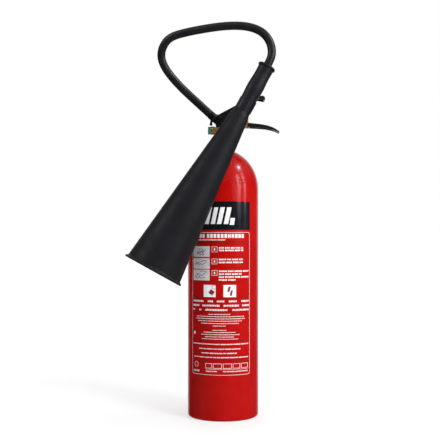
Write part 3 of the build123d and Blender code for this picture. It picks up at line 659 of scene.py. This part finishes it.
# ------------------------------------------------------------------ horn
def horn_seams():
    """The thin ridges that the two halves of the mould leave along both sides of the cone."""
    along = (HORN_TOP - HORN_MOUTH).normalized()
    front = (HORN_FRONT - along * HORN_FRONT.dot(along)).normalized()
    across = along.cross(front)
    lip_gap, top_gap = 9.0, 3.0
    section = ((-0.45, -0.15), (-0.18, 0.28), (0.18, 0.28), (0.45, -0.15))
    mesh = bmesh.new()
    for way in (-1, 1):
        rings = []
        for step in range(SEAM_STEPS + 1):
            t = step / SEAM_STEPS
            distance = (lip_gap + (CONE_LENGTH - top_gap - lip_gap) * t) * MM
            radius = (MOUTH_R - (MOUTH_R - CONE_TOP_R) * distance / (CONE_LENGTH * MM)) * MM
            middle = HORN_MOUTH + along * distance
            rings.append([mesh.verts.new(middle + across * way * (radius + rise * MM) + front * width * MM)
                          for width, rise in section])
        for one, two in zip(rings, rings[1:]):
            for i in range(len(section)):
                k = (i + 1) % len(section)
                mesh.faces.new((one[i], one[k], two[k], two[i]))
        mesh.faces.new(rings[0][::-1])
        mesh.faces.new(rings[-1])
    piece("horn_seams", mesh, HORN_BLACK, "horn")


label()
dome_marks()
hose()
valve_spring()
horn_seams()


# ------------------------------------------------------------------ floor, light and camera
def floor():
    """A pale floor that glows with painted light, its own white emission, a little over half strength beside
    the object and full white a few metres out, where a studio's sweep would rise.
    """
    mesh = bmesh.new()
    bmesh.ops.create_circle(mesh, cap_ends=True, radius=14, segments=96)
    s = Shader("pale_floor", specular=0.0)
    reach = s.tree.nodes.new("ShaderNodeVectorMath")
    reach.operation = "LENGTH"
    s.link(s.coords.outputs["Object"], reach, "Vector")
    near_edge, far_edge = 0.25, 1.6
    far = s.ranged(reach.outputs["Value"], near_edge, far_edge)
    tone = s.mixed(s.ranged(s.noise(3, 3), 0.35, 0.65), (0.44, 0.44, 0.44), (0.46, 0.46, 0.46))
    # painted light: the floor glows white by its own emission, 0.56 beside the object rising to 1.0 far out,
    # while its own colour darkens to 0.2 there
    s.surface.inputs["Emission Color"].default_value = (1, 1, 1, 1)
    glow = s.ranged(reach.outputs["Value"], near_edge, far_edge, 0.56, 1.0)
    s.link(glow, s.surface, "Emission Strength")
    material = s.finish(s.mixed(far, tone, (0.2, 0.2, 0.2)), s.ranged(s.noise(9, 3), 0.3, 0.7, 0.75, 0.85))
    obj = piece("floor", mesh, material, None, smooth=False)
    obj.visible_glossy = False


def area_light(name, direction, distance, size, power, target=(0, 0, 0.45), gloss=False, fill=True):
    """A rectangular softbox; direction is its azimuth from the camera's side and its elevation, in degrees.

    gloss says whether it shows in reflections, and fill whether it lights matt surfaces.
    """
    azimuth, elevation = (math.radians(a) for a in direction)
    back = Vector((math.sin(azimuth) * math.cos(elevation), -math.cos(azimuth) * math.cos(elevation),
                   math.sin(elevation)))
    light = bpy.data.lights.new(name, "AREA")
    light.shape = "RECTANGLE"
    light.size, light.size_y = size
    light.energy = power
    obj = bpy.data.objects.new(name, light)
    obj.location = Vector(target) + back * distance
    obj.rotation_mode = "QUATERNION"
    obj.rotation_quaternion = back.to_track_quat("Z", "Y")
    obj.visible_glossy = gloss
    obj.visible_diffuse = fill
    bpy.context.scene.collection.objects.link(obj)


def world():
    """White to the camera; to everything else a dark studio, bright only behind and a little above."""
    place = bpy.data.worlds.new("studio")
    place.use_nodes = True
    bpy.context.scene.world = place
    tree = place.node_tree
    tree.nodes.clear()
    coords = tree.nodes.new("ShaderNodeTexCoord")
    split = tree.nodes.new("ShaderNodeSeparateXYZ")
    tree.links.new(coords.outputs["Generated"], split.inputs[0])
    parts = []
    for axis, low, high, out_low, out_high in (("Y", 0.72, 0.98, 0.010, 1.0), ("Z", 0.20, 0.70, 0.0, 0.26),
                                               ("X", 0.0, 0.9, 0.0, 0.05)):
        parts.append(map_range(tree, split.outputs[axis], low, high, out_low, out_high))
    total = parts[0]
    for part in parts[1:]:
        added = tree.nodes.new("ShaderNodeMath")
        added.operation = "ADD"
        tree.links.new(total, added.inputs[0])
        tree.links.new(part, added.inputs[1])
        total = added.outputs[0]
    lighting = tree.nodes.new("ShaderNodeBackground")
    tree.links.new(total, lighting.inputs["Strength"])
    lighting.inputs["Color"].default_value = (1, 1, 1, 1)
    seen = tree.nodes.new("ShaderNodeBackground")
    seen.inputs["Color"].default_value = (1, 1, 1, 1)
    rays = tree.nodes.new("ShaderNodeLightPath")
    mix = tree.nodes.new("ShaderNodeMixShader")
    tree.links.new(rays.outputs["Is Camera Ray"], mix.inputs[0])
    tree.links.new(lighting.outputs[0], mix.inputs[1])
    tree.links.new(seen.outputs[0], mix.inputs[2])
    output = tree.nodes.new("ShaderNodeOutputWorld")
    tree.links.new(mix.outputs[0], output.inputs["Surface"])


def camera():
    data = bpy.data.cameras.new("camera")
    data.lens = 73.6
    data.sensor_width = 36
    data.shift_y = 0.0341
    obj = bpy.data.objects.new("camera", data)
    obj.location = (-0.006, -1.785, 0.357)
    obj.rotation_euler = (math.radians(90), 0, 0)
    bpy.context.scene.collection.objects.link(obj)
    bpy.context.scene.camera = obj


floor()
world()
area_light("key", (42, 14), 2.2, (0.8, 1.2), 42)
area_light("top", (0, 82), 2.6, (2.6, 2.6), 56)
area_light("back_fill", (190, 25), 2.6, (1.6, 1.6), 16)
area_light("streak_left", (53, 20), 2.2, (0.40, 1.3), 8.5, target=(0, 0, 0.37), gloss=True, fill=False)
area_light("streak_right", (74, 20), 2.2, (0.24, 1.3), 6.0, target=(0, 0, 0.37), gloss=True, fill=False)
area_light("high_left", (-66, 36), 2.2, (0.45, 0.8), 5.0, target=(0, 0, 0.40), gloss=True, fill=False)
area_light("ceiling_lamp", (78, 48), 2.0, (0.26, 0.16), 8.0, gloss=True, fill=False)
camera()
bpy.context.scene.view_settings.view_transform = "Standard"
